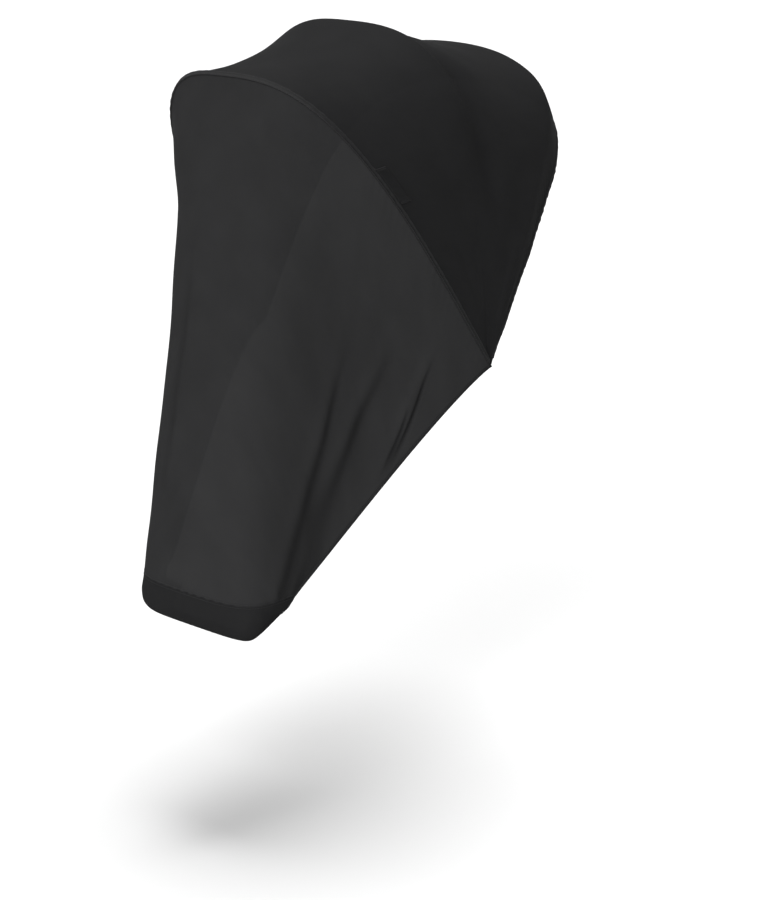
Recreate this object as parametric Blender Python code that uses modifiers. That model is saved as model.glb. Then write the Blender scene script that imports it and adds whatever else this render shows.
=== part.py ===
"""Mosquito net for a stroller seat, in the shape in which it hangs over a raised canopy.

A hood panel lies over three U-shaped bows that fan out from one hinge line. A front panel falls from the
first bow, the rim, to a pocket that hooks over the footrest. Its two side hems run straight from the lower
corners of the hood to the corners of the pocket. A tape covers the rim seam, and a bare tab is sewn beside it.

Metres, +Z up. The net's front faces -Y, and +X is on the viewer's right. The origin is the place where the
crown of the middle bow carries the net, just under the cloth.
"""
import math
from collections import namedtuple

import bmesh
import bpy
import numpy as np

for old in list(bpy.data.objects):
    bpy.data.objects.remove(old, do_unlink=True)

# The cloth's thickness, and the clearance between pieces that are sewn together.
CLOTH = 0.0016
GAP = 0.0004

# The hinge line of the bows runs across the net at this place.
HINGE_Y = 0.063
HINGE_Z = -0.474

# The bows: lean forward of upright in degrees, reach from the hinge line to the crown, half width of the
# legs, and how far they draw in at the hinge. Then, for the near (+X) and the far (-X) side, how flat the crown
# is and how square the shoulder is.
Bow = namedtuple("Bow", "name lean reach half draw_in near_arch near_shoulder far_arch far_shoulder")
RIM = Bow("rim", 37.5, 0.531, 0.220, 0.000, 3.4, 3.30, 2.3, 2.0)
MIDDLE = Bow("middle", 7.5, 0.479, 0.216, 0.004, 2.8, 5.6, 2.7, 3.0)
REAR = Bow("rear", -22.0, 0.4625, 0.2265, 0.008, 1.85, 9.5, 2.4, 4.2)
HEM = Bow("hem", -31.0, 0.4275, 0.2175, 0.002, 1.85, 9.0, 2.4, 4.2)

# The cloth from bow to bow: how many strips, and how far it sags under the straight line at the crown.
Span = namedtuple("Span", "front back strips sag")
SPANS = (
    Span(RIM, MIDDLE, 7, 0.015),
    Span(MIDDLE, REAR, 7, 0.014),
    Span(REAR, HEM, 3, -0.004),
)

# Places across the net are shares of the half outline: -1 at the far hinge, 0 at the crown, 1 at the near
# hinge. The near side carries the folds and has closer columns. The hood stops short of the hinge.
FOLDED_FROM = 0.40
PLAIN_STEP = 0.05
FOLDED_STEP = 0.022
HOOD_END = 0.965

# The mouth of the foot pocket: a flatter U, level, round the footrest.
FOOT_X = 0.008
FOOT_Y = -0.250
FOOT_Z = -0.748
# It is pulled lower on the near side, by this much for each metre across.
FOOT_TILT = 0.020
FOOT = Bow("foot", 90.0, 0.092, 0.117, 0.000, 3.6, 4.0, 3.6, 4.0)

# Where the threads of the front panel start on the rim and end on the foot.
Thread = namedtuple("Thread", "rim foot")
THREADS = (
    Thread(0.00, 0.00),
    Thread(0.20, 0.42),
    Thread(0.38, 0.75),
    Thread(0.50, 0.88),
    Thread(0.58, 0.93),
    Thread(1.00, 1.00),
)

# How the front panel departs from straight threads on its way down: share of the way, and the pull towards
# the middle as a share of the half width.
Level = namedtuple("Level", "down narrow")
LEVELS = (
    Level(0.00, 0.000),
    Level(0.10, 0.100),
    Level(0.22, 0.215),
    Level(0.40, 0.230),
    Level(0.60, 0.165),
    Level(0.80, 0.085),
    Level(1.00, 0.000),
)
BULGE = 0.002
# The free side hems curve in towards the cloth by this much, most of it soon below the hinge.
HEM_CURVE = 0.024
HEM_EARLY = 0.55
FRONT_ROWS = 28

# Folds of the front panel on its near side: the way each one runs, as places (share across, share down), with
# the height it stands out and its half width.
Fold = namedtuple("Fold", "name way height half_width")
FOLDS = (
    Fold("shin fold", ((0.57, 0.36), (0.55, 0.60), (0.49, 0.80), (0.44, 1.00)), 0.008, 0.014),
    Fold("knee fold", ((0.74, 0.26), (0.74, 0.56), (0.71, 0.78), (0.60, 1.00)), 0.009, 0.012),
    Fold("hem fold", ((0.86, 0.12), (0.91, 0.30), (0.97, 0.56)), 0.007, 0.012),
)
FADE_TOP = 0.40
FADE_FOOT = 0.15

# The foot pocket from its seam down and under: drop below the seam, and how far the outline draws in.
Turn = namedtuple("Turn", "drop inset")
TURNS = (
    Turn(0.000, 0.000),
    Turn(0.020, -0.001),
    Turn(0.037, 0.003),
    Turn(0.048, 0.009),
    Turn(0.054, 0.018),
    Turn(0.055, 0.045),
)
# The pocket is this much shallower, as a share, at its two back corners.
CORNER_LIFT = 0.55
# Its two ends run on in line with the side hems: this far forward for each metre of drop.
END_SLANT = 1.1
POCKET_STEPS = 32

# The tape over the rim seam, and the tab beside it on the hood.
TAPE_HALF = 0.0032
TAPE_THICK = 0.0012
TAB_SHARES = (0.420, 0.516)
TAB_START = 0.0042
TAB_WIDTH = 0.0215
TAB_THICK = 0.0015
TAB_COLUMNS = 6
TAB_ROWS = 3


def unit(vectors):
    """The same directions at length 1."""
    return vectors / np.maximum(np.linalg.norm(vectors, axis=-1, keepdims=True), 1e-9)


def rim_shares():
    """The columns shared by the hood, the front panel and the tape."""
    ends = (-HOOD_END, HOOD_END)
    plain = np.arange(-1 + PLAIN_STEP, FOLDED_FROM - PLAIN_STEP / 2, PLAIN_STEP)
    folded = np.linspace(FOLDED_FROM, 1, round((1 - FOLDED_FROM) / FOLDED_STEP) + 1)
    columns = [c for c in (*plain, *folded) if min(abs(c - e) for e in ends) > FOLDED_STEP / 2]
    return np.array(sorted([-1.0, *ends, *columns]))


def outline(bow, shares):
    """Places (across, out) of a U outline at shares of its length."""
    angle = np.linspace(-math.pi / 2, math.pi / 2, 721)
    side = np.sin(angle)
    shoulder = np.where(side > 0, bow.near_shoulder, bow.far_shoulder)
    out = bow.reach * np.abs(np.cos(angle)) ** (2 / shoulder)
    arch = np.where(side > 0, bow.near_arch, bow.far_arch)
    across = bow.half * np.abs(side) ** (2 / arch) - bow.draw_in * (1 - out / bow.reach) ** 3
    across *= np.sign(side)
    length = np.concatenate([[0], np.cumsum(np.hypot(np.diff(across), np.diff(out)))])
    length -= length[len(angle) // 2]
    places = np.where(shares > 0, shares * length[-1], -shares * length[0])
    return np.interp(places, length, across), np.interp(places, length, out)


def bow_points(bow, shares):
    """Points of a bow, in its plane through the hinge line."""
    across, out = outline(bow, shares)
    lean = math.radians(bow.lean)
    return np.stack([across, HINGE_Y - out * math.sin(lean), HINGE_Z + out * math.cos(lean)], -1)


def hood_rows(shares):
    """Rows of points from the rim back to the hem."""
    rows = []
    for span in SPANS:
        front = bow_points(span.front, shares)
        back = bow_points(span.back, shares)
        for v in np.arange(span.strips) / span.strips:
            row = front * (1 - v) + back * v
            outward = row - (0, HINGE_Y, HINGE_Z)
            outward[:, 0] = 0
            depth = np.linalg.norm(outward, axis=1, keepdims=True) / RIM.reach
            rows.append(row - unit(outward) * span.sag * 4 * v * (1 - v) * depth)
    rows.append(bow_points(HEM, shares))
    return np.array(rows)


def foot_points(shares, turn):
    """Points of the foot pocket's wall at one turn."""
    bow = FOOT._replace(half=FOOT.half - turn.inset, reach=FOOT.reach - turn.inset)
    across, out = outline(bow, shares)
    drop = turn.drop * (1 - CORNER_LIFT * np.abs(shares) ** 6)
    forward = out + END_SLANT * drop * (1 - out / bow.reach)
    return np.stack([FOOT_X + across, FOOT_Y - forward, FOOT_Z - drop - FOOT_TILT * across], -1)


def pocket_rows(shares):
    """Rows of points from the pocket's seam down and under."""
    return np.array([foot_points(shares, turn) for turn in TURNS])


def thread_ends(shares):
    """Where on the foot the threads end that start at these shares of the rim."""
    ends = np.interp(np.abs(shares), [t.rim for t in THREADS], [t.foot for t in THREADS])
    return np.sign(shares) * ends


def fold_height(row, shares, down):
    """How far the folds lift one row of the front panel off its plain surface."""
    along = np.concatenate([[0], np.cumsum(np.linalg.norm(np.diff(row, axis=0), axis=1))])
    height = np.zeros(len(shares))
    for fold in FOLDS:
        ways_across, ways_down = zip(*fold.way)
        gone = (down - ways_down[0]) / (ways_down[-1] - ways_down[0])
        if not 0 < gone < 1:
            continue
        centre = np.interp(down, ways_down, ways_across)
        off = along - np.interp(centre, shares, along)
        fade = min(1, gone / FADE_TOP) * min(1, (1 - gone) / FADE_FOOT)
        height += fold.height * fade * np.exp(-(off / fold.half_width) ** 2)
    return height


def front_rows(shares, downs):
    """Rows of points from the rim down to the pocket, with the folds."""
    rim = bow_points(RIM, shares)
    foot = foot_points(thread_ends(shares), TURNS[0])
    rows = []
    for down in downs:
        row = rim * (1 - down) + foot * down
        row[:, 0] *= 1 - np.interp(down, [k.down for k in LEVELS], [k.narrow for k in LEVELS]) * (1 - shares ** 4)
        row[:, 1] -= math.sin(math.pi * down) * BULGE * (1 - shares ** 2)
        row[:, 1] -= math.sin(math.pi * down ** HEM_EARLY) * HEM_CURVE * np.abs(shares) ** 5
        rows.append(row)
    plain = np.array(rows)
    normals = surface_normals(plain)
    heights = np.array([fold_height(row, shares, down) for row, down in zip(plain, downs)])
    return plain + normals * heights[..., None]


def surface_normals(rows):
    """Normals of a surface given as rows: outward on the front panel, inward on the hood."""
    across = np.gradient(rows, axis=1)
    down = np.gradient(rows, axis=0)
    return unit(np.cross(down, across))


def apart(seam, first, second):
    """The two edges that stop either side of a seam, a gap apart, for sheets that go on to these rows."""
    along = unit(np.gradient(seam, axis=0))
    ways = []
    for row in (first, second):
        way = row - seam
        ways.append(unit(way - along * np.sum(way * along, axis=1, keepdims=True)))
    half_angle = np.arccos(np.clip(np.sum(ways[0] * ways[1], axis=1), -1, 1)) / 2
    back = (GAP / 2 + CLOTH / 2 * np.cos(half_angle)) / np.sin(half_angle)
    return [seam + way * back[:, None] for way in ways]


def add_sheet(name, rows, thick, colour, roughness):
    """One piece of cloth: a lofted open surface with Solidify."""
    mesh = bpy.data.meshes.new(name)
    shape = bmesh.new()
    grid = [[shape.verts.new(point) for point in row] for row in rows]
    for upper, lower in zip(grid, grid[1:]):
        for column in range(len(upper) - 1):
            shape.faces.new((upper[column], lower[column], lower[column + 1], upper[column + 1]))
    for face in shape.faces:
        face.smooth = True
    shape.to_mesh(mesh)
    shape.free()
    piece = bpy.data.objects.new(name, mesh)
    net.objects.link(piece)
    solid = piece.modifiers.new("cloth", "SOLIDIFY")
    solid.thickness = thick
    solid.offset = 0
    material = bpy.data.materials.new(name + "_material")
    material.use_nodes = True
    shader = material.node_tree.nodes["Principled BSDF"]
    shader.inputs["Base Color"].default_value = (*colour, 1)
    shader.inputs["Roughness"].default_value = roughness
    shader.inputs["Metallic"].default_value = 0
    mesh.materials.append(material)
    return piece


net = bpy.data.collections.new("stroller_mosquito_net")
bpy.context.scene.collection.children.link(net)

# Hood and front panel: both stop beside the rim seam. The front panel also stops above the pocket's seam.
shares = rim_shares()
downs = np.linspace(0, 1, FRONT_ROWS + 1)
hood = hood_rows(shares)
front = front_rows(shares, downs)
hood[0], front[0] = apart(bow_points(RIM, shares), hood[1], front[1])

pocket_shares = np.linspace(-1, 1, POCKET_STEPS + 1)
pocket = pocket_rows(pocket_shares)
below = foot_points(thread_ends(shares), TURNS[1])
front[-1] = apart(front[-1], front[-2], below)[0]
front_threads = np.interp(pocket_shares, thread_ends(shares), shares)
above = front_rows(front_threads, downs[-2:])[0]
pocket[0] = apart(pocket[0], above, pocket[1])[1]

over_hood = np.abs(shares) <= HOOD_END
NET_BLACK = (0.012, 0.012, 0.013)
add_sheet("hood_panel", hood[:, over_hood], CLOTH, NET_BLACK, 0.8)
add_sheet("front_panel", front, CLOTH, NET_BLACK, 0.8)
add_sheet("foot_pocket", pocket, CLOTH, NET_BLACK, 0.8)

# Rim tape: it lies round the ridge of the seam, a gap above both panels.
lift = CLOTH / 2 + GAP + TAPE_THICK / 2
rim = bow_points(RIM, shares)[over_hood]
hood_side = unit(hood[1] - hood[0])[over_hood]
front_side = unit(front[1] - front[0])[over_hood]
hood_up = -surface_normals(hood)[0][over_hood]
front_up = surface_normals(front)[0][over_hood]
ridge_up = unit(hood_up + front_up)
ridge_lift = lift / np.sum(ridge_up * hood_up, axis=1, keepdims=True)
tape = [
    rim + hood_side * TAPE_HALF + hood_up * lift,
    rim + ridge_up * ridge_lift,
    rim + front_side * TAPE_HALF + front_up * lift,
]
add_sheet("rim_tape", tape, TAPE_THICK, (0.03, 0.03, 0.032), 0.6)

# Tab: it lies on the near side of the hood with its long edge beside the tape.
tab_shares = np.linspace(*TAB_SHARES, TAB_COLUMNS)
rows_here = hood_rows(tab_shares)
up_here = -surface_normals(rows_here)
strip = np.linalg.norm(rows_here[1] - rows_here[0], axis=1, keepdims=True)
tab_lift = CLOTH / 2 + GAP + TAB_THICK / 2
tab = []
for far_edge in np.linspace(TAB_START + TAB_WIDTH, TAB_START, TAB_ROWS):
    v = far_edge / strip
    first, second = (0, 1) if far_edge < strip.min() else (1, 2)
    v = v - first
    tab.append(rows_here[first] * (1 - v) + rows_here[second] * v + up_here[1] * tab_lift)
add_sheet("label_tab", tab, TAB_THICK, (0.01, 0.01, 0.011), 0.5)
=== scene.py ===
import math
from collections import namedtuple

import bmesh
import bpy
import numpy as np
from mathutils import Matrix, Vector


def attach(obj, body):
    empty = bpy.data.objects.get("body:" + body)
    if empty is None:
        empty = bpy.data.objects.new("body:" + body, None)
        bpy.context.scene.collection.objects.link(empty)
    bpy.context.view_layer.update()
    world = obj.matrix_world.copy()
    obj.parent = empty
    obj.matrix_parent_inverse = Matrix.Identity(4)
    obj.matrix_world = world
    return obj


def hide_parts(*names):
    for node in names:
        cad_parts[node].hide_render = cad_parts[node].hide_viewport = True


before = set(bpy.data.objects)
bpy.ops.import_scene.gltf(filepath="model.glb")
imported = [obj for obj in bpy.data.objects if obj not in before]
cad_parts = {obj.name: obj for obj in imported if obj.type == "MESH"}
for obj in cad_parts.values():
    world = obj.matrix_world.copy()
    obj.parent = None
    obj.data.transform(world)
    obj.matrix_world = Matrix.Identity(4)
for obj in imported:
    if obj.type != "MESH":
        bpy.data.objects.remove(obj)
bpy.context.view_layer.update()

# Hood panel.
# One cut of black stretch mosquito net, drawn over three bent bows that fan out from one hinge line. It is
# sewn to the front panel along the first bow, and its hem wraps down behind the last one.

# The hinge line of the bows runs across the net at this place.
HINGE_Y = 0.063
HINGE_Z = -0.474

# The bows: lean forward of upright in degrees, reach from the hinge line to the crown, half width of the
# legs, and how far they draw in at the hinge. Then, for the near and the far side, how flat the crown is
# and how square the shoulder is.
Bow = namedtuple("Bow", "lean reach half draw_in near_arch near_shoulder far_arch far_shoulder")
RIM_BOW = Bow(37.5, 0.531, 0.220, 0.000, 3.4, 3.30, 2.3, 2.0)
MIDDLE_BOW = Bow(7.5, 0.479, 0.216, 0.004, 2.8, 5.6, 2.7, 3.0)
REAR_BOW = Bow(-22.0, 0.4625, 0.2265, 0.008, 1.85, 9.5, 2.4, 4.2)
HOOD_HEM = Bow(-31.0, 0.4275, 0.2175, 0.002, 1.85, 9.0, 2.4, 4.2)

# The cloth from bow to bow: rows of mesh, and how far it sags under the straight line at the crown.
Span = namedtuple("Span", "front back rows sag")
SPANS = (
    Span(RIM_BOW, MIDDLE_BOW, 64, 0.015),
    Span(MIDDLE_BOW, REAR_BOW, 64, 0.014),
    Span(REAR_BOW, HOOD_HEM, 22, -0.004),
)
# The panel stops just short of the hinge line on both sides.
HOOD_END = 0.996
HOOD_COLUMNS = 321
# How often each row is averaged with its neighbours, so that the cloth rounds off over a bow.
BOW_SOFTENING = 6
# Points round a bow from which its length is measured.
OUTLINE_POINTS = 2881

# Placed folds. A way is a list of places (share across, steps along), from -1 at the far hinge over 0 at
# the crown to 1 at the near hinge, and on the hood from 0 at the rim bow over 1 and 2 at the next bows to 3
# at the hem. A fold with a negative height is a trough. The last value is how much closer the mesh is drawn
# there, so that less light comes through, and also how much the fold's colour is darkened as painted shade.
# A fold dies out at both ends, but not where it runs into the last seam.
Fold = namedtuple("Fold", "name way height half_width gather")
# On the hood hardly any light comes through the holes, so the last value of each fold there only darkens
# its colour: painted shade in the hollows and pulls.
HOOD_FOLDS = (
    Fold("hollow behind the middle bow",
         ((0.05, 1.10), (0.30, 1.14), (0.52, 1.22), (0.74, 1.42)), -0.0080, 0.022, 0.3),
    Fold("far hollow behind the middle bow",
         ((-0.10, 1.12), (-0.34, 1.18), (-0.62, 1.30)), -0.0060, 0.022, 0.2),
    Fold("pull from the near shoulder", ((0.36, 0.42), (0.50, 0.30), (0.66, 0.22)), 0.0012, 0.016, 0.0),
    Fold("slack in front of the middle bow",
         ((0.12, 0.72), (0.34, 0.70), (0.50, 0.78)), -0.0018, 0.022, 0.0),
    Fold("pull to the rear bow", ((0.60, 1.30), (0.50, 1.62), (0.45, 1.92)), 0.0016, 0.014, 0.0),
    Fold("slack by the rear bow", ((0.52, 1.72), (0.66, 1.66), (0.80, 1.60)), -0.0020, 0.016, 0.2),
    Fold("first pull at the near hinge", ((0.62, 0.42), (0.76, 0.46), (0.94, 0.52)), 0.0018, 0.008, 0.1),
    Fold("second pull at the near hinge", ((0.70, 1.02), (0.82, 0.98), (0.95, 0.90)), 0.0015, 0.007, 0.1),
    Fold("third pull at the near hinge", ((0.68, 1.86), (0.80, 1.78), (0.95, 1.70)), 0.0019, 0.007, 0.1),
    Fold("first pull at the far hinge", ((-0.60, 0.36), (-0.78, 0.44), (-0.94, 0.50)), 0.0017, 0.008, 0.1),
    Fold("second pull at the far hinge", ((-0.66, 1.20), (-0.82, 1.12), (-0.95, 1.00)), 0.0017, 0.008, 0.1),
    Fold("third pull at the far hinge", ((-0.58, 2.00), (-0.78, 1.90), (-0.95, 1.80)), 0.0015, 0.007, 0.1),
    Fold("far slack by the rear bow", ((-0.30, 1.62), (-0.52, 1.58), (-0.72, 1.66)), -0.0022, 0.020, 0.1),
)
FOLD_POINTS = 24
# The share of a fold's length over which it dies out.
FOLD_FADE = 0.35
# The height of the broad waves of slack, how near to the hinges they reach, as a share of the bow, and how
# far from the rim seam they start.
HOOD_SLACK = 0.0009
HINGE_TAUT = 0.35
SEAM_TAUT = 0.05

# Small puckers that the seam thread and the elastic pull into the cloth: pitch, height, and reach.
Pucker = namedtuple("Pucker", "pitch height reach")
SEAM_PUCKER = Pucker(0.017, 0.0004, 0.012)
HEM_PUCKER = Pucker(0.013, 0.0009, 0.022)

# Every piece of cloth is kept as a grid: its places across and along, its points, and the directions
# square to it that point out of the net.
Cloth = namedtuple("Cloth", "shares steps rows normals")


def unit(vectors):
    """The same directions at length 1."""
    return vectors / np.maximum(np.linalg.norm(vectors, axis=-1, keepdims=True), 1e-9)


def rising(share):
    """0 at 0 and 1 at 1, level at both ends."""
    share = np.clip(share, 0, 1)
    return share * share * (3 - 2 * share)


def smooth_line(places, knots, values):
    """A smooth line through a few named values that never overshoots them."""
    knots = np.asarray(knots, float)
    values = np.asarray(values, float)
    run = np.diff(knots)
    rise = np.diff(values) / run
    slope = np.zeros(len(knots))
    slope[0] = rise[0]
    slope[-1] = rise[-1]
    for k in range(1, len(knots) - 1):
        if rise[k - 1] * rise[k] > 0:
            slope[k] = 2 * rise[k - 1] * rise[k] / (rise[k - 1] + rise[k])
    places = np.clip(places, knots[0], knots[-1])
    cell = np.clip(np.searchsorted(knots, places) - 1, 0, len(run) - 1)
    t = (places - knots[cell]) / run[cell]
    start = values[cell] * (1 + 2 * t) * (1 - t) ** 2 + slope[cell] * run[cell] * t * (1 - t) ** 2
    end = values[cell + 1] * t * t * (3 - 2 * t) + slope[cell + 1] * run[cell] * t * t * (t - 1)
    return start + end


def outline(bow, shares):
    """Places (across, out) of a bow's outline at shares of its length."""
    angle = np.linspace(-math.pi / 2, math.pi / 2, OUTLINE_POINTS)
    side = np.sin(angle)
    shoulder = np.where(side > 0, bow.near_shoulder, bow.far_shoulder)
    arch = np.where(side > 0, bow.near_arch, bow.far_arch)
    out = bow.reach * np.abs(np.cos(angle)) ** (2 / shoulder)
    across = bow.half * np.abs(side) ** (2 / arch) - bow.draw_in * (1 - out / bow.reach) ** 3
    across *= np.sign(side)
    length = np.concatenate([[0], np.cumsum(np.hypot(np.diff(across), np.diff(out)))])
    length -= length[len(angle) // 2]
    places = np.where(shares > 0, shares * length[-1], -shares * length[0])
    return np.interp(places, length, across), np.interp(places, length, out)


def bow_points(bow, shares):
    """Points along a bow, in its plane through the hinge line."""
    across, out = outline(bow, shares)
    lean = math.radians(bow.lean)
    return np.stack([across, HINGE_Y - out * math.sin(lean), HINGE_Z + out * math.cos(lean)], -1)


def outward(rows, side):
    """Directions square to a grid of points. Side is 1 to keep them and -1 to turn them round."""
    return unit(np.cross(np.gradient(rows, axis=0), np.gradient(rows, axis=1))) * side


def laid_flat(rows, shares):
    """How far each point lies, along the cloth, from the middle column and from the first row."""
    across = np.zeros(rows.shape[:2])
    across[:, 1:] = np.cumsum(np.linalg.norm(np.diff(rows, axis=1), axis=2), axis=1)
    across -= across[:, [np.abs(shares).argmin()]]
    down = np.zeros(rows.shape[:2])
    down[1:] = np.cumsum(np.linalg.norm(np.diff(rows, axis=0), axis=2), axis=0)
    return across, down


def place_on(grid, shares, steps, share, step):
    """A grid's value at one place, given as a share across and steps along."""
    along = [np.interp(share, shares, row) for row in grid]
    return np.interp(step, steps, along)


def folded(shares, steps, flat, folds):
    """How far the placed folds lift each point of a cloth, and how closely they draw its mesh together,
    which also darkens its colour there as painted shade.
    """
    height = np.zeros(flat[0].shape)
    gather = np.zeros(flat[0].shape)
    for fold in folds:
        knots = np.linspace(0, 1, len(fold.way))
        way_share = smooth_line(np.linspace(0, 1, FOLD_POINTS), knots, [place[0] for place in fold.way])
        way_step = smooth_line(np.linspace(0, 1, FOLD_POINTS), knots, [place[1] for place in fold.way])
        way = np.array([[place_on(grid, shares, steps, *place) for grid in flat]
                        for place in zip(way_share, way_step)])
        nearest = np.full(height.shape, np.inf)
        gone = np.zeros(height.shape)
        for count, (start, end) in enumerate(zip(way, way[1:])):
            run = end - start
            t = ((flat[0] - start[0]) * run[0] + (flat[1] - start[1]) * run[1]) / (run @ run)
            t = np.clip(t, 0, 1)
            off = np.hypot(flat[0] - start[0] - t * run[0], flat[1] - start[1] - t * run[1])
            closer = off < nearest
            nearest[closer] = off[closer]
            gone[closer] = ((count + t) / (FOLD_POINTS - 1))[closer]
        ends = rising(gone / FOLD_FADE)
        if fold.way[-1][1] < steps[-1]:
            ends *= rising((1 - gone) / FOLD_FADE)
        bump = ends * np.exp(-((nearest / fold.half_width) ** 2))
        height += fold.height * bump
        gather += fold.gather * bump
    return height, gather


def slack(flat, amount):
    """The broad, uneven waves of a cloth that is not drawn quite tight."""
    across, down = flat
    waves = np.sin(across * 21 + down * 9 + 0.6) * np.sin(down * 24 - across * 5 + 1.9)
    waves += 0.6 * np.sin(across * 37 - down * 17 + 2.4) * np.sin(down * 31 + 0.4)
    return amount * waves


def puckered(along, away, pucker):
    """Small uneven puckers along an edge: they die out with the distance away from it."""
    phase = along * 2 * math.pi / pucker.pitch
    uneven = np.sin(phase + 1.7 * np.sin(along * 23)) * (0.65 + 0.35 * np.sin(along * 41 + 1.1))
    return pucker.height * uneven * np.exp(-away / pucker.reach)


def hood_cloth():
    """The hood panel from the rim bow back to the hem, with its slack, folds and puckers."""
    shares = np.linspace(-HOOD_END, HOOD_END, HOOD_COLUMNS)
    rows = []
    steps = []
    for order, span in enumerate(SPANS):
        front = bow_points(span.front, shares)
        back = bow_points(span.back, shares)
        for v in np.arange(span.rows) / span.rows:
            row = front * (1 - v) + back * v
            out = row - (0, HINGE_Y, HINGE_Z)
            out[:, 0] = 0
            depth = np.linalg.norm(out, axis=1, keepdims=True) / RIM_BOW.reach
            rows.append(row - unit(out) * span.sag * 4 * v * (1 - v) * depth)
            steps.append(order + v)
    rows = np.array([*rows, bow_points(HOOD_HEM, shares)])
    steps = np.array([*steps, len(SPANS)])
    for _ in range(BOW_SOFTENING):
        rows[1:-1] = (rows[:-2] + 2 * rows[1:-1] + rows[2:]) / 4
    flat = laid_flat(rows, shares)
    height, gather = folded(shares, steps, flat, HOOD_FOLDS)
    room = rising((1 - np.abs(shares)) / HINGE_TAUT)
    height += slack(flat, HOOD_SLACK) * room * rising(flat[1] / SEAM_TAUT)
    height += puckered(flat[0], flat[1], SEAM_PUCKER) * room
    height += puckered(flat[0], flat[1][-1] - flat[1], HEM_PUCKER) * room
    rows = rows + outward(rows, -1) * height[..., None]
    return Cloth(shares, steps, rows, outward(rows, -1)), flat, gather


def grid_mesh(name, rows, flat, turned):
    """A mesh from a grid of points, with the flat cloth as its UV map, in metres."""
    index = np.arange(rows.shape[0] * rows.shape[1]).reshape(rows.shape[:2])
    corners = [index[:-1, :-1], index[:-1, 1:], index[1:, 1:], index[1:, :-1]]
    faces = np.stack(corners[::-1] if turned else corners, -1).reshape(-1, 4)
    mesh = bpy.data.meshes.new(name)
    mesh.from_pydata(rows.reshape(-1, 3).tolist(), [], faces.tolist())
    mesh.shade_smooth()
    layer = mesh.uv_layers.new(name="cloth_metres")
    places = np.stack(flat, -1).reshape(-1, 2)
    layer.uv.foreach_set("vector", places[faces.ravel()].astype(np.float32).ravel())
    return mesh


def new_piece(name, mesh, material):
    """Puts a finished mesh on the net, with its finish."""
    mesh.materials.append(material)
    piece = bpy.data.objects.new(name, mesh)
    bpy.context.scene.collection.objects.link(piece)
    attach(piece, "root")
    return piece


def lay_net(name, cloth, flat, gather, material, turned):
    """A single thin sheet of net, with how closely its mesh is drawn together, which also sets its painted
    fold shade, as a point value for its finish.
    """
    mesh = grid_mesh(name, cloth.rows, flat, turned)
    value = mesh.attributes.new("gathered_and_fold_shade", "FLOAT", "POINT")
    value.data.foreach_set("value", np.clip(gather, 0, 1).astype(np.float32).ravel())
    return new_piece(name, mesh, material)


def add_node(tree, kind, inputs=(), **settings):
    """A shader node with its settings, and its inputs given as values or as sockets to join."""
    node = tree.nodes.new(kind)
    for key, value in settings.items():
        setattr(node, key, value)
    for place, value in enumerate(inputs):
        if value is None:
            continue
        if isinstance(value, bpy.types.NodeSocket):
            tree.links.new(value, node.inputs[place])
        else:
            node.inputs[place].default_value = value
    return node


def math_node(tree, operation, *inputs):
    """The result of one sum on values or sockets."""
    return add_node(tree, "ShaderNodeMath", inputs, operation=operation).outputs[0]


def vector_node(tree, operation, *inputs):
    """A node for one sum on vectors."""
    return add_node(tree, "ShaderNodeVectorMath", inputs, operation=operation)


def patches(tree, place, scale, detail, roughness=0.5):
    """A cloudy pattern of values round 0.5, this fine to the metre."""
    return add_node(tree, "ShaderNodeTexNoise", (place, None, scale, detail, roughness)).outputs["Fac"]


def new_finish(name, roughness, gloss):
    """A new material, with its node tree and its shader."""
    material = bpy.data.materials.new(name)
    material.use_nodes = True
    shader = material.node_tree.nodes["Principled BSDF"]
    shader.inputs["Roughness"].default_value = roughness
    shader.inputs["Specular IOR Level"].default_value = gloss
    return material, material.node_tree, shader


def colour_in(tree, shader, colour, shade):
    """Gives a shader its colour, made lighter and darker by a shade."""
    tinted = vector_node(tree, "SCALE", colour, None, None, shade)
    tree.links.new(tinted.outputs[0], shader.inputs["Base Color"])


def emboss(tree, shader, strength, depth, relief):
    """Gives a shader a fine relief, finer than the mesh of the piece."""
    bump = add_node(tree, "ShaderNodeBump", (strength, depth, None, relief))
    tree.links.new(bump.outputs[0], shader.inputs["Normal"])


# The knitted mesh: from hole to hole, and how far the holes drift out of line.
MESH_PITCH = 0.0012
MESH_DRIFT = 1.4 * MESH_PITCH
# Three crossing waves add up to the mesh: under the first value lies thread, and over the second a hole.
THREAD_EDGE = -0.6
HOLE_EDGE = 1.2


def knit_pattern(tree):
    """The flat cloth's places, and 1 in the holes of a six-sided knitted mesh and 0 on its threads."""
    flat = add_node(tree, "ShaderNodeUVMap", uv_map="cloth_metres").outputs[0]
    drift = add_node(tree, "ShaderNodeTexNoise", (flat, None, 160.0, 1.0, 0.5)).outputs["Color"]
    pulled = vector_node(tree, "MULTIPLY_ADD", drift, (MESH_DRIFT,) * 3, flat).outputs[0]
    waves = 4 * math.pi / (math.sqrt(3) * MESH_PITCH)
    total = 0.0
    for turn in (0, 60, 120):
        way = (waves * math.cos(math.radians(turn)), waves * math.sin(math.radians(turn)), 0)
        along = vector_node(tree, "DOT_PRODUCT", pulled, way).outputs["Value"]
        total = math_node(tree, "ADD", math_node(tree, "COSINE", along), total)
    edges = (total, THREAD_EDGE, HOLE_EDGE, 0.0, 1.0)
    hole = add_node(tree, "ShaderNodeMapRange", edges, interpolation_type="SMOOTHSTEP")
    return flat, hole.outputs[0]


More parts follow.
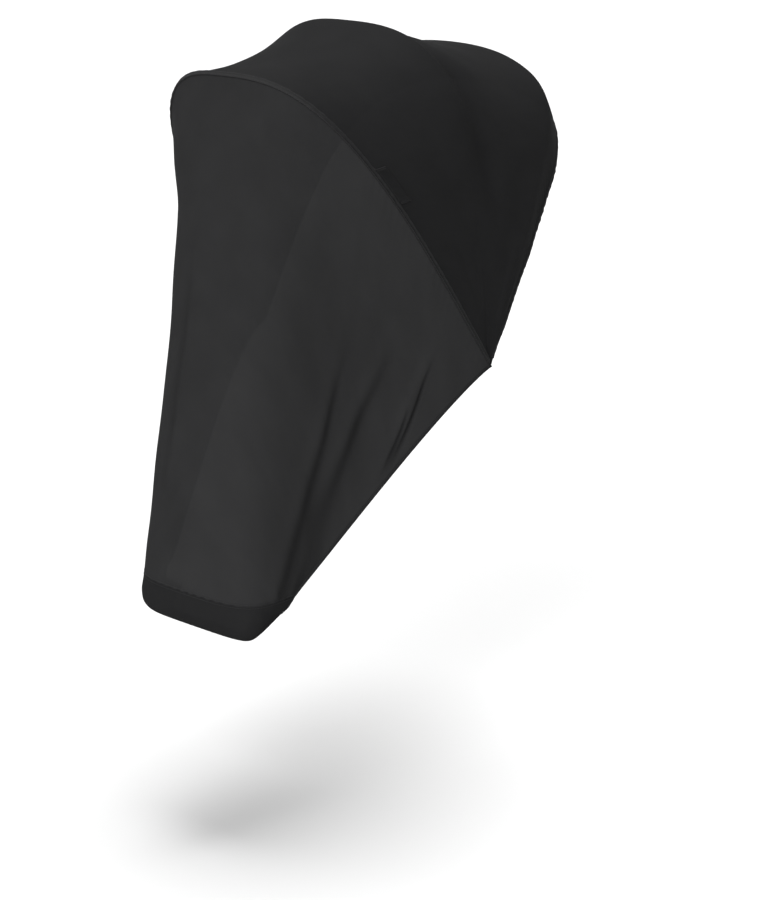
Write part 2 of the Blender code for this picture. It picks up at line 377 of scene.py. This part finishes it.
def net_finish(name, thread, cover, gloss=0.01):
    """Black knitted mosquito net. Cover is how much of the light behind its holes is held back. Its colour
    is darkened as painted shade where folds draw it together.
    """
    material, tree, shader = new_finish(name, 0.85, gloss)
    flat, hole = knit_pattern(tree)
    gathered_and_fold_shade = add_node(tree, "ShaderNodeAttribute", attribute_name="gathered_and_fold_shade").outputs["Fac"]
    open_share = math_node(tree, "MULTIPLY", hole, 1 - cover)
    see_through = math_node(tree, "MULTIPLY", open_share, math_node(tree, "SUBTRACT", 1.0, gathered_and_fold_shade))
    tree.links.new(math_node(tree, "SUBTRACT", 1.0, see_through), shader.inputs["Alpha"])
    cloud = patches(tree, flat, 14.0, 3.0, 0.55)
    yarn = patches(tree, flat, 900.0, 2.0)
    uneven = math_node(tree, "MULTIPLY_ADD", cloud, 0.35, math_node(tree, "MULTIPLY_ADD", yarn, 0.25, 0.80))
    in_holes = math_node(tree, "MULTIPLY_ADD", hole, -0.35, uneven)
    # Painted shade: the colour is up to 30 % darker where folds draw the mesh together.
    painted_fold_shade = math_node(tree, "MULTIPLY_ADD", gathered_and_fold_shade, -0.30, 1.0)
    colour_in(tree, shader, thread, math_node(tree, "MULTIPLY", in_holes, painted_fold_shade))
    emboss(tree, shader, 0.35, 0.00015, math_node(tree, "SUBTRACT", 1.0, hole))
    return material


hood, hood_flat, hood_gather_and_shade = hood_cloth()
# Painted shade: the hood's copy of the net is given a darker colour than the front panel's, for the light
# that does not come through it from behind.
hood_finish = net_finish("hood_mesh", (0.0105, 0.0105, 0.0109), 0.997, gloss=0.05)
hood_net = lay_net("hood_net", hood, hood_flat, hood_gather_and_shade, hood_finish, False)
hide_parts("hood_panel")

# Front panel.
# The same net, cut as a long trapezium: it falls from the rim bow to the footrest, its threads drawn
# together on the way down. The spare cloth of its near side hangs in two long soft folds, which end at the
# pocket, and in two short creases by the hem.

# The mouth of the foot pocket, which the panel ends on: a flat U, tilted a little down on the near side.
# The pocket is shallower at its two back corners, and its ends run on in line with the side hems.
FOOT_X = 0.008
FOOT_Y = -0.250
FOOT_Z = -0.748
FOOT_TILT = 0.020
FOOT = Bow(90.0, 0.092, 0.117, 0.000, 3.6, 4.0, 3.6, 4.0)
CORNER_LIFT = 0.55
END_SLANT = 1.1

# Where the threads of the panel start on the rim and end on the foot.
Thread = namedtuple("Thread", "rim foot")
THREADS = (
    Thread(0.00, 0.00),
    Thread(0.20, 0.42),
    Thread(0.38, 0.75),
    Thread(0.50, 0.88),
    Thread(0.58, 0.93),
    Thread(1.00, 1.00),
)

# How far the panel is drawn in on its way down, as a share of its half width.
Level = namedtuple("Level", "down narrow")
LEVELS = (
    Level(0.00, 0.000),
    Level(0.10, 0.100),
    Level(0.22, 0.215),
    Level(0.40, 0.230),
    Level(0.60, 0.165),
    Level(0.80, 0.085),
    Level(1.00, 0.000),
)
BULGE = 0.002
# The free side hems curve in towards the cloth by this much, most of it soon below the hinge.
HEM_CURVE = 0.024
HEM_EARLY = 0.55
# The near side, which carries the folds, has closer columns.
FOLDED_FROM = 0.40
PLAIN_COLUMNS = 236
FOLDED_COLUMNS = 168
FRONT_ROWS = 243
# The height of the slack, the shares of the panel over which it starts and ends, and the share beside the
# hems and the pocket over which all relief dies out.
FRONT_SLACK = 0.0010
TOP_TAUT = 0.12
FOOT_TAUT = 0.10
EDGE_TAUT = 0.03

FRONT_FOLDS = (
    Fold("ridge beside the shin fold",
         ((0.55, 0.30), (0.54, 0.56), (0.49, 0.80), (0.41, 1.00)), 0.0030, 0.012, 0.0),
    Fold("shin fold", ((0.586, 0.28), (0.572, 0.56), (0.532, 0.79), (0.445, 1.00)), -0.0025, 0.0066, 0.75),
    Fold("ridge beside the knee fold", ((0.725, 0.16), (0.71, 0.48), (0.695, 0.82)), 0.0032, 0.011, 0.0),
    Fold("knee fold", ((0.755, 0.18), (0.742, 0.46), (0.733, 0.72), (0.72, 0.97)), -0.0024, 0.0066, 0.70),
    Fold("ridge beside the crease", ((0.85, 0.10), (0.885, 0.24), (0.935, 0.46)), 0.0030, 0.009, 0.0),
    Fold("crease by the hem",
         ((0.855, 0.11), (0.904, 0.233), (0.944, 0.350), (0.986, 0.54)), -0.0028, 0.0030, 1.0),
    Fold("short crease by the hem", ((0.890, 0.27), (0.928, 0.37), (0.972, 0.53)), -0.0024, 0.0028, 0.9),
    Fold("far soft line",
         ((-0.03, 0.24), (-0.076, 0.483), (-0.124, 0.67), (-0.17, 0.87)), -0.0026, 0.009, 0.5),
    Fold("pull to the near corner", ((0.55, 0.16), (0.72, 0.14), (0.92, 0.06)), 0.0016, 0.012, 0.1),
    Fold("far fold", ((-0.70, 0.26), (-0.72, 0.62), (-0.64, 1.00)), 0.0070, 0.014, 0.5),
    Fold("far hem fold", ((-0.84, 0.14), (-0.90, 0.36), (-0.97, 0.58)), 0.0050, 0.012, 0.4),
)


def foot_points(shares, drop, inset):
    """Points of the foot pocket's wall at one drop below its seam."""
    bow = FOOT._replace(half=FOOT.half - inset, reach=FOOT.reach - inset)
    across, out = outline(bow, shares)
    fall = drop * (1 - CORNER_LIFT * np.abs(shares) ** 6)
    forward = out + END_SLANT * fall * (1 - out / bow.reach)
    return np.stack([FOOT_X + across, FOOT_Y - forward, FOOT_Z - fall - FOOT_TILT * across], -1)


def thread_ends(shares):
    """Where on the foot the threads end that start at these shares of the rim."""
    ends = smooth_line(np.abs(shares), [t.rim for t in THREADS], [t.foot for t in THREADS])
    return np.sign(shares) * ends


def front_cloth():
    """The front panel from the rim bow down to the pocket, with its slack, folds and puckers."""
    plain = np.linspace(-1, FOLDED_FROM, PLAIN_COLUMNS, endpoint=False)
    shares = np.concatenate([plain, np.linspace(FOLDED_FROM, 1, FOLDED_COLUMNS)])
    steps = np.linspace(0, 1, FRONT_ROWS)
    down = steps[:, None, None]
    rows = bow_points(RIM_BOW, shares) * (1 - down) + foot_points(thread_ends(shares), 0, 0) * down
    narrow = smooth_line(steps, [k.down for k in LEVELS], [k.narrow for k in LEVELS])
    rows[..., 0] *= 1 - narrow[:, None] * (1 - shares ** 4)
    rows[..., 1] -= BULGE * np.sin(math.pi * steps)[:, None] * (1 - shares ** 2)
    rows[..., 1] -= HEM_CURVE * np.sin(math.pi * steps ** HEM_EARLY)[:, None] * np.abs(shares) ** 5
    flat = laid_flat(rows, shares)
    height, gather = folded(shares, steps, flat, FRONT_FOLDS)
    ends = rising(steps / TOP_TAUT) * rising((1 - steps) / FOOT_TAUT)
    height += slack(flat, FRONT_SLACK) * ends[:, None]
    height *= rising((1 - np.abs(shares)) / EDGE_TAUT) * rising((1 - steps) / EDGE_TAUT)[:, None]
    height += puckered(flat[0], flat[1], SEAM_PUCKER)
    height += puckered(flat[0], flat[1][-1] - flat[1], SEAM_PUCKER)
    rows = rows + outward(rows, 1) * height[..., None]
    return Cloth(shares, steps, rows, outward(rows, 1)), flat, gather


front, front_flat, front_gather_and_shade = front_cloth()
# Painted light: the front panel's copy of the net is given a lighter colour than the hood's, for the light
# that comes through it from behind.
front_finish = net_finish("front_mesh", (0.0200, 0.0200, 0.0205), 0.989)
front_net = lay_net("front_net", front, front_flat, front_gather_and_shade, front_finish, True)
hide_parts("front_panel")

# Foot pocket.
# A band of the net worked double, sewn to the lower edge of the front panel. It turns under the footrest
# and ends in a narrow hem, which an elastic thread draws in at the two back corners.

# The band from behind its seam down and under: drop below the seam, and how far the outline draws in.
Turn = namedtuple("Turn", "drop inset")
TURNS = (
    Turn(-0.003, 0.0008),
    Turn(0.000, 0.000),
    Turn(0.020, 0.000),
    Turn(0.037, 0.003),
    Turn(0.048, 0.009),
    Turn(0.054, 0.018),
    Turn(0.055, 0.045),
)
POCKET_COLUMNS = 141
POCKET_ROWS = 49
POCKET_PUCKER = Pucker(0.011, 0.0007, 0.016)


def pocket_cloth():
    """The foot pocket from its seam down and under."""
    shares = np.linspace(-1, 1, POCKET_COLUMNS)
    steps = np.linspace(0, 1, POCKET_ROWS)
    knots = np.linspace(0, 1, len(TURNS))
    drops = smooth_line(steps, knots, [t.drop for t in TURNS])
    insets = smooth_line(steps, knots, [t.inset for t in TURNS])
    rows = np.array([foot_points(shares, drop, inset) for drop, inset in zip(drops, insets)])
    flat = laid_flat(rows, shares)
    height = puckered(flat[0], flat[1], SEAM_PUCKER)
    height += puckered(flat[0], flat[1][-1] - flat[1], POCKET_PUCKER)
    rows = rows + outward(rows, 1) * height[..., None]
    return Cloth(shares, steps, rows, outward(rows, 1)), flat


pocket, pocket_flat = pocket_cloth()
# Painted shade: the pocket's copy of the net is given a darker colour than the front panel's, for the light
# that its double band holds back.
pocket_finish = net_finish("pocket_mesh", (0.0132, 0.0132, 0.0136), 0.996)
no_gather_or_shade = np.zeros(pocket_flat[0].shape)
pocket_net = lay_net("pocket_net", pocket, pocket_flat, no_gather_or_shade, pocket_finish, True)
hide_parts("foot_pocket")

# Rim binding.
# A narrow ribbed tape, folded over the raw edges of the seam between hood and front panel and stitched
# down on both sides, so that it stands as two fine ridges with a groove between them.
TAPE_HALF = 0.0036
# Its outline from the hood side to the front side, in millimetres: places across, and heights above the
# cloth.
TAPE_OFFSETS = (-3.6, -3.5, -3.2, -2.7, -2.1, -1.5, -1.0, -0.6, 0.0, 0.6, 1.0, 1.5, 2.1, 2.7, 3.2, 3.5, 3.6)
TAPE_HEIGHTS = (0.3, 0.9, 1.5, 2.0, 2.2, 2.0, 1.3, 0.6, 0.4, 0.6, 1.3, 2.0, 2.2, 2.0, 1.5, 0.9, 0.3)
# The two places across at the tops of its ridges, where it is stitched.
TAPE_RIDGES = (4, 12)
TAPE_LIE = 0.15
TAPE_END = 0.985
TAPE_COLUMNS = 641
MILLI = 0.001


def edge_strip(cloth, edge, offsets, places=None):
    """Points and outward directions beside an edge of a cloth, at these distances from it along the cloth.

    The edge is first or last row, or first or last column. Places choose where along the edge."""
    rows, normals, along = cloth.rows, cloth.normals, cloth.shares
    if "column" in edge:
        rows, normals, along = rows.transpose(1, 0, 2), normals.transpose(1, 0, 2), cloth.steps
    if "last" in edge:
        rows, normals = rows[::-1], normals[::-1]
    away = np.zeros(rows.shape[:2])
    away[1:] = np.cumsum(np.linalg.norm(np.diff(rows, axis=0), axis=2), axis=0)
    places = along if places is None else places
    points = np.zeros((len(places), len(offsets), 3))
    ups = np.zeros((len(places), len(offsets), 3))
    column = np.interp(places, along, np.arange(len(along)))
    left = np.minimum(column.astype(int), len(along) - 2)
    right_share = (column - left)[:, None]
    for axis in range(3):
        for grid, found in ((rows, points), (normals, ups)):
            lines = np.array([np.interp(offsets, away[:, c], grid[:, c, axis]) for c in range(len(along))])
            found[..., axis] = lines[left] * (1 - right_share) + lines[left + 1] * right_share
    return points, unit(ups)


def turn_outward(mesh):
    """Turns every face of a closed mesh to its outside."""
    shape = bmesh.new()
    shape.from_mesh(mesh)
    bmesh.ops.recalc_face_normals(shape, faces=shape.faces)
    shape.to_mesh(mesh)
    shape.free()


def thick_strip(name, lower, upper, material):
    """A closed strip of tape or folded cloth between two grids of points, its length along the rows."""
    ring = np.concatenate([upper, lower[:, ::-1]], axis=1)
    count, sides = ring.shape[:2]
    index = np.arange(count * sides).reshape(count, sides)
    after = np.roll(index, -1, axis=1)
    faces = np.stack([index[:-1], after[:-1], after[1:], index[1:]], -1).reshape(-1, 4).tolist()
    width = upper.shape[1]
    for end, flip in ((index[0], 1), (index[-1], -1)):
        for k in range(width - 1):
            faces.append([end[k], end[sides - 1 - k], end[sides - 2 - k], end[k + 1]][::flip])
    mesh = bpy.data.meshes.new(name)
    mesh.from_pydata(ring.reshape(-1, 3).tolist(), [], faces)
    mesh.shade_smooth()
    closed = np.concatenate([ring, ring[:, :1]], axis=1)
    round_way = np.zeros(closed.shape[:2])
    round_way[:, 1:] = np.cumsum(np.linalg.norm(np.diff(closed, axis=1), axis=2), axis=1)
    along = np.concatenate([[0], np.cumsum(np.linalg.norm(np.diff(ring[:, 0], axis=0), axis=1))])
    flat = np.stack([np.broadcast_to(along[:, None], index.shape), round_way[:, :-1]], -1).reshape(-1, 2)
    layer = mesh.uv_layers.new(name="cloth_metres")
    corners = np.zeros(len(mesh.loops), np.int32)
    mesh.loops.foreach_get("vertex_index", corners)
    layer.uv.foreach_set("vector", flat[corners].astype(np.float32).ravel())
    turn_outward(mesh)
    return new_piece(name, mesh, material)


def ribbed_finish(name, colour, pitch, depth, roughness, gloss):
    """Woven tape with fine ribs square to its length."""
    material, tree, shader = new_finish(name, roughness, gloss)
    flat = add_node(tree, "ShaderNodeUVMap", uv_map="cloth_metres").outputs[0]
    along = add_node(tree, "ShaderNodeSeparateXYZ", (flat,)).outputs[0]
    rib = math_node(tree, "SINE", math_node(tree, "MULTIPLY", along, 2 * math.pi / pitch))
    yarn = patches(tree, flat, 1400.0, 2.0)
    shade = math_node(tree, "MULTIPLY_ADD", rib, 0.14, math_node(tree, "MULTIPLY_ADD", yarn, 0.5, 0.75))
    colour_in(tree, shader, colour, shade)
    emboss(tree, shader, 0.6, depth, math_node(tree, "MULTIPLY_ADD", yarn, 0.5, rib))
    return material


def bind_rim():
    """The binding over the seam, from one lower corner of the hood over the crown to the other."""
    places = np.linspace(-TAPE_END, TAPE_END, TAPE_COLUMNS)
    offsets = np.array(TAPE_OFFSETS) * MILLI
    hood_part, hood_up = edge_strip(hood, "first row", np.abs(offsets[offsets < 0])[::-1], places)
    front_part, front_up = edge_strip(front, "first row", offsets[offsets >= 0], places)
    base = np.concatenate([hood_part[:, ::-1], front_part], axis=1)
    turn = rising((offsets / TAPE_HALF + 0.6) / 1.2)[None, :, None]
    ups = unit(hood_up[:, :1] * (1 - turn) + front_up[:, :1] * turn)
    lifted = base + ups * (np.array(TAPE_HEIGHTS) * MILLI)[None, :, None]
    under = base + ups * TAPE_LIE * MILLI
    return thick_strip("rim_binding", under, lifted, tape_finish), base, ups


tape_finish = ribbed_finish("binding_tape", (0.0132, 0.0132, 0.0136), 0.0011, 0.00012, 0.7, 0.1)
rim_binding, rim_base, rim_ups = bind_rim()
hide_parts("rim_tape")

# Tab.
# A small bare tab of black satin weave, its ends folded under, sewn flat on the near side of the hood with
# its long edge beside the binding.
TAB_SHARES = (0.420, 0.516)
TAB_START = 0.0042
TAB_WIDTH = 0.0215
TAB_THICK = 0.0013
TAB_ROUND = 0.0010
# How high its raw edge and its underside lie above the cloth, and the line where each end is folded under:
# how far in, how wide, and how deep.
TAB_EDGE = 0.0004
TAB_LIE = 0.0002
TAB_FOLD_IN = 0.0055
TAB_FOLD_WIDE = 0.0005
TAB_FOLD_DEEP = 0.00025
TAB_COLUMNS = 61
TAB_ROWS = 25


def sew_tab():
    """The tab: a closed strip that follows the hood, rounded at its edges."""
    places = np.linspace(*TAB_SHARES, TAB_COLUMNS)
    offsets = np.linspace(TAB_START, TAB_START + TAB_WIDTH, TAB_ROWS)
    base, ups = edge_strip(hood, "first row", offsets, places)
    length = np.linalg.norm(np.diff(base[:, 0], axis=0), axis=1).sum()
    from_end = np.minimum(np.linspace(0, length, TAB_COLUMNS), np.linspace(length, 0, TAB_COLUMNS))
    from_side = np.minimum(offsets - offsets[0], offsets[-1] - offsets)
    near_edge = np.minimum(from_end[:, None], from_side[None, :]) / TAB_ROUND
    rounding = np.sqrt(1 - (1 - np.clip(near_edge, 0, 1)) ** 2)
    fold_line = TAB_FOLD_DEEP * np.exp(-((from_end - TAB_FOLD_IN) / TAB_FOLD_WIDE) ** 2)[:, None]
    height = TAB_EDGE + (TAB_THICK - TAB_EDGE) * rounding - fold_line
    under = base + ups * TAB_LIE
    return thick_strip("bare_tab", under, base + ups * height[..., None], tab_finish), base, ups


tab_finish = ribbed_finish("tab_satin", (0.0075, 0.0075, 0.0078), 0.0007, 0.00005, 0.5, 0.08)
bare_tab, tab_base, tab_ups = sew_tab()
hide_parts("label_tab")

# Hems.
# The free edges of hood, front panel and pocket are turned twice and stitched, with an elastic thread in
# them, so each is a flat roll that is a little uneven along its length. A hem belongs to the cloth that it
# edges, and a side hem runs on from the front panel over the end of the pocket.
Edge = namedtuple("Edge", "cloth side start end")
Hem = namedtuple("Hem", "name edges width thick slot")
HEM_POINTS = 240
# The places across a hem, as shares of its width, and which of them is stitched.
HEM_ACROSS = (0, 0.02, 0.06, 0.12, 0.2, 0.3, 0.42, 0.55, 0.68, 0.8, 0.9, 0.96, 1.0)
HEM_STITCHED = 9
# How thin its two edges are, how uneven it is, and how far it stands out past the cloth.
HEM_EDGE = 0.12
HEM_UNEVEN = 0.18
HEM_OVER = 0.0006


def roll_hem(hem, material):
    """One hem: a flat closed roll along one or more edges."""
    offsets = np.array(HEM_ACROSS) * hem.width
    strips = []
    for edge in hem.edges:
        places = np.linspace(edge.start, edge.end, HEM_POINTS)
        strips.append(edge_strip(edge.cloth, edge.side, offsets, places))
    base = np.concatenate([strips[0][0], *(strip[0][1:] for strip in strips[1:])])
    ups = np.concatenate([strips[0][1], *(strip[1][1:] for strip in strips[1:])])
    full = np.sqrt(np.clip(1 - np.abs(2 * offsets / hem.width - 1) ** 5, 0, 1))
    along = np.concatenate([[0], np.cumsum(np.linalg.norm(np.diff(base[:, 0], axis=0), axis=1))])
    uneven = 1 + HEM_UNEVEN * np.sin(along * 2 * math.pi / 0.011 + 2 * np.sin(along * 31))
    half = hem.thick / 2 * (HEM_EDGE + (1 - HEM_EDGE) * full)[None, :] * uneven[:, None]
    base = base + unit(base[:, :1] - base[:, 1:2]) * HEM_OVER
    lower, upper = base - ups * half[..., None], base + ups * half[..., None]
    return thick_strip(hem.name, lower, upper, material), base, ups, hem


hem_finish = net_finish("hem_mesh", (0.0170, 0.0170, 0.0175), 0.998)
# The second turn of the pocket lies at its seam.
BELOW_SEAM = 1 / (len(TURNS) - 1)
near_edges = (Edge(front, "last column", 0, 1), Edge(pocket, "last column", BELOW_SEAM, 1))
far_edges = (Edge(front, "first column", 0, 1), Edge(pocket, "first column", BELOW_SEAM, 1))
hood_edges = (Edge(hood, "last row", -0.98, 0.98),)
pocket_edges = (Edge(pocket, "last row", -1, 1),)
side_hems = [
    roll_hem(Hem("near_side_hem", near_edges, 0.0050, 0.0018, "net"), hem_finish),
    roll_hem(Hem("far_side_hem", far_edges, 0.0050, 0.0018, "net"), hem_finish),
]
hood_hem = roll_hem(Hem("hood_back_hem", hood_edges, 0.0085, 0.0022, "net"), hem_finish)
pocket_hem = roll_hem(Hem("pocket_under_hem", pocket_edges, 0.0080, 0.0022, "pocket_net"), hem_finish)

# Stitching.
# Lockstitch in black polyester thread: two rows on the binding, one along three sides of the tab, two
# beside the pocket seam and one on every hem. Each stitch is a short thread that dips into the cloth at
# both ends.
STITCH = 0.0029
STITCH_GAP = 0.0011
THREAD_RADIUS = 0.00026
STITCH_SIDES = 6
# A step along the seam, short enough to give its direction.
AHEAD = 0.0004
# Rings of points round a stitch: where along it, how wide, and how high, both in thread radii.
Ring = namedtuple("Ring", "along wide lift")
STITCH_RINGS = (
    Ring(0.00, 0.30, -0.8),
    Ring(0.12, 0.85, 0.2),
    Ring(0.50, 1.00, 0.7),
    Ring(0.88, 0.85, 0.2),
    Ring(1.00, 0.30, -0.8),
)


def sew(name, lines):
    """Rows of stitches as one joined mesh. Each line is its points and outward directions."""
    vertices = []
    for path, ups in lines:
        way = np.concatenate([[0], np.cumsum(np.linalg.norm(np.diff(path, axis=0), axis=1))])
        starts = np.arange(STITCH_GAP, way[-1] - STITCH, STITCH + STITCH_GAP)
        rings = []
        for ring in STITCH_RINGS:
            at = starts + ring.along * STITCH
            centre = np.stack([np.interp(at, way, path[:, axis]) for axis in range(3)], -1)
            ahead = np.stack([np.interp(at + AHEAD, way, path[:, axis]) for axis in range(3)], -1)
            up = unit(np.stack([np.interp(at, way, ups[:, axis]) for axis in range(3)], -1))
            side = unit(np.cross(unit(ahead - centre), up))
            centre = centre + up * ring.lift * THREAD_RADIUS
            for angle in np.arange(STITCH_SIDES) * 2 * math.pi / STITCH_SIDES:
                spread = side * math.cos(angle) + up * math.sin(angle)
                rings.append(centre + spread * THREAD_RADIUS * ring.wide)
        vertices.append(np.stack(rings, 1).reshape(-1, 3))
    vertices = np.concatenate(vertices)
    each = len(STITCH_RINGS) * STITCH_SIDES
    first = np.arange(0, len(vertices), each)[:, None]
    pattern = []
    for ring in range(len(STITCH_RINGS) - 1):
        for k in range(STITCH_SIDES):
            a = ring * STITCH_SIDES + k
            b = ring * STITCH_SIDES + (k + 1) % STITCH_SIDES
            pattern.append((a, b, b + STITCH_SIDES, a + STITCH_SIDES))
    faces = (first[:, None] + np.array(pattern)[None]).reshape(-1, 4).tolist()
    for start in first.ravel().tolist():
        faces.append([start + k for k in range(STITCH_SIDES)][::-1])
        faces.append([start + each - STITCH_SIDES + k for k in range(STITCH_SIDES)])
    mesh = bpy.data.meshes.new(name)
    mesh.from_pydata(vertices.tolist(), [], faces)
    mesh.shade_smooth()
    turn_outward(mesh)
    return new_piece(name, mesh, thread_finish)


def thread_material():
    """Black polyester thread: a soft gloss, and a fine twist that breaks it up."""
    material, tree, shader = new_finish("seam_thread", 0.55, 0.2)
    place = add_node(tree, "ShaderNodeTexCoord").outputs["Object"]
    twist = patches(tree, place, 2600.0, 1.0)
    colour_in(tree, shader, (0.019, 0.019, 0.020), math_node(tree, "MULTIPLY_ADD", twist, 0.8, 0.6))
    return material


def line_at(base, ups, column, lift):
    """One line of a strip, raised by a lift."""
    return base[:, column] + ups[:, column] * lift, ups[:, column]


thread_finish = thread_material()
tape_lift = TAPE_HEIGHTS[TAPE_RIDGES[0]] * MILLI
tape_lines = [line_at(rim_base, rim_ups, ridge, tape_lift) for ridge in TAPE_RIDGES]
rim_stitches = sew("rim_stitches", tape_lines)

# The tab's long side by the binding, and then its two ends.
tab_lines = [line_at(tab_base, tab_ups, 2, TAB_THICK)]
for row in (3, -4):
    end_base, end_ups = tab_base[row, 2:-2], tab_ups[row, 2:-2]
    tab_lines.append((end_base + end_ups * TAB_THICK, end_ups))
tab_stitches = sew("tab_stitches", tab_lines)

# The seam of the pocket is stitched on both sides. The pocket starts 3 mm above it, behind the front panel.
ABOVE_SEAM = 0.0025
POCKET_STITCHED = 0.0055
SEAM_LIFT = 0.0002
seam_front, seam_front_up = edge_strip(front, "last row", [ABOVE_SEAM])
seam_pocket, seam_pocket_up = edge_strip(pocket, "first row", [POCKET_STITCHED])
pocket_lines = [
    line_at(seam_front, seam_front_up, 0, SEAM_LIFT),
    line_at(seam_pocket, seam_pocket_up, 0, SEAM_LIFT),
]
pocket_stitches = sew("pocket_stitches", pocket_lines)


def hem_line(rolled):
    """The stitch line of one hem, near its inner edge and on its outside."""
    _, base, ups, hem = rolled
    return line_at(base, ups, HEM_STITCHED, hem.thick / 2)


side_hem_stitches = sew("side_hem_stitches", [hem_line(rolled) for rolled in side_hems])
hood_hem_stitches = sew("hood_hem_stitches", [hem_line(hood_hem)])
pocket_hem_stitches = sew("pocket_hem_stitches", [hem_line(pocket_hem)])

# Floor, light and camera.
# A plain pale floor, a wide soft key light from the front, left of the camera, one from nearly overhead,
# and a pale surround. The camera stands at the angle at which the net is seen.
FLOOR_Z = -1.104
FLOOR_RADIUS = 40
FLOOR_SHADE = 0.62


def floor_finish():
    """Plain pale studio floor with a hardly visible unevenness."""
    material, tree, shader = new_finish("studio_floor", 0.9, 0.1)
    place = add_node(tree, "ShaderNodeTexCoord").outputs["Object"]
    cloud = patches(tree, place, 2.0, 2.0)
    shade = math_node(tree, "MULTIPLY_ADD", cloud, 0.02, FLOOR_SHADE)
    colour_in(tree, shader, (1.0, 1.0, 1.0), shade)
    return material


def soft_sun(name, azimuth, elevation, strength, angle):
    """A wide soft light from one side, the same everywhere."""
    light = bpy.data.lights.new(name, "SUN")
    light.energy = strength
    light.angle = math.radians(angle)
    lamp = bpy.data.objects.new(name, light)
    a, e = math.radians(azimuth), math.radians(elevation)
    lamp.rotation_mode = "QUATERNION"
    toward = Vector((math.sin(a) * math.cos(e), -math.cos(a) * math.cos(e), math.sin(e)))
    lamp.rotation_quaternion = toward.to_track_quat("Z", "Y")
    bpy.context.scene.collection.objects.link(lamp)


# The way from the net to the dimmer part of the surround.
BEHIND_NEAR_SIDE = (0.85, 0.53, 0)


def pale_surround(high, low, shaded):
    """A pale surround, dimmer overhead, and only as bright as the shaded share behind the near side."""
    world = bpy.data.worlds.new("surround")
    world.use_nodes = True
    tree = world.node_tree
    way = add_node(tree, "ShaderNodeTexCoord").outputs["Generated"]
    up = add_node(tree, "ShaderNodeSeparateXYZ", (way,)).outputs[2]
    near = vector_node(tree, "DOT_PRODUCT", way, BEHIND_NEAR_SIDE).outputs["Value"]
    rise = (up, 0.0, 0.5, low, high)
    fall = (near, -0.3, 0.7, 1.0, shaded)
    level = add_node(tree, "ShaderNodeMapRange", rise, interpolation_type="SMOOTHSTEP")
    side = add_node(tree, "ShaderNodeMapRange", fall, interpolation_type="SMOOTHSTEP")
    strength = math_node(tree, "MULTIPLY", level.outputs[0], side.outputs[0])
    tree.links.new(strength, tree.nodes["Background"].inputs["Strength"])
    tree.nodes["Background"].inputs["Color"].default_value = (1, 1, 1, 1)
    bpy.context.scene.world = world


floor_place = (0, 0, FLOOR_Z)
bpy.ops.mesh.primitive_circle_add(vertices=96, radius=FLOOR_RADIUS, fill_type="NGON", location=floor_place)
floor = bpy.context.object
floor.name = "studio_floor"
floor.data.materials.append(floor_finish())
soft_sun("key_light", azimuth=18, elevation=34, strength=3.0, angle=42)
soft_sun("top_light", azimuth=198, elevation=78, strength=3.3, angle=36)
pale_surround(high=0.48, low=0.85, shaded=0.22)

# The camera: where it stands round the net, how far off it is, and what it looks at. Lens and sensor are
# in millimetres.
CAMERA_AZIMUTH = 39.54
CAMERA_ELEVATION = 16.3
CAMERA_DISTANCE = 3.0381
CAMERA_TARGET = Vector((0.0749, 0.0014, -0.6097))
CAMERA_LENS = 84
CAMERA_SENSOR = 36
camera_data = bpy.data.cameras.new("camera")
camera_data.lens = CAMERA_LENS
camera_data.sensor_width = CAMERA_SENSOR
camera = bpy.data.objects.new("camera", camera_data)
around, above = math.radians(CAMERA_AZIMUTH), math.radians(CAMERA_ELEVATION)
back = Vector((math.sin(around) * math.cos(above), -math.cos(around) * math.cos(above), math.sin(above)))
camera.location = CAMERA_TARGET + back * CAMERA_DISTANCE
camera.rotation_mode = "QUATERNION"
camera.rotation_quaternion = back.to_track_quat("Z", "Y")
bpy.context.scene.collection.objects.link(camera)
bpy.context.scene.camera = camera
bpy.context.scene.view_settings.view_transform = "Standard"
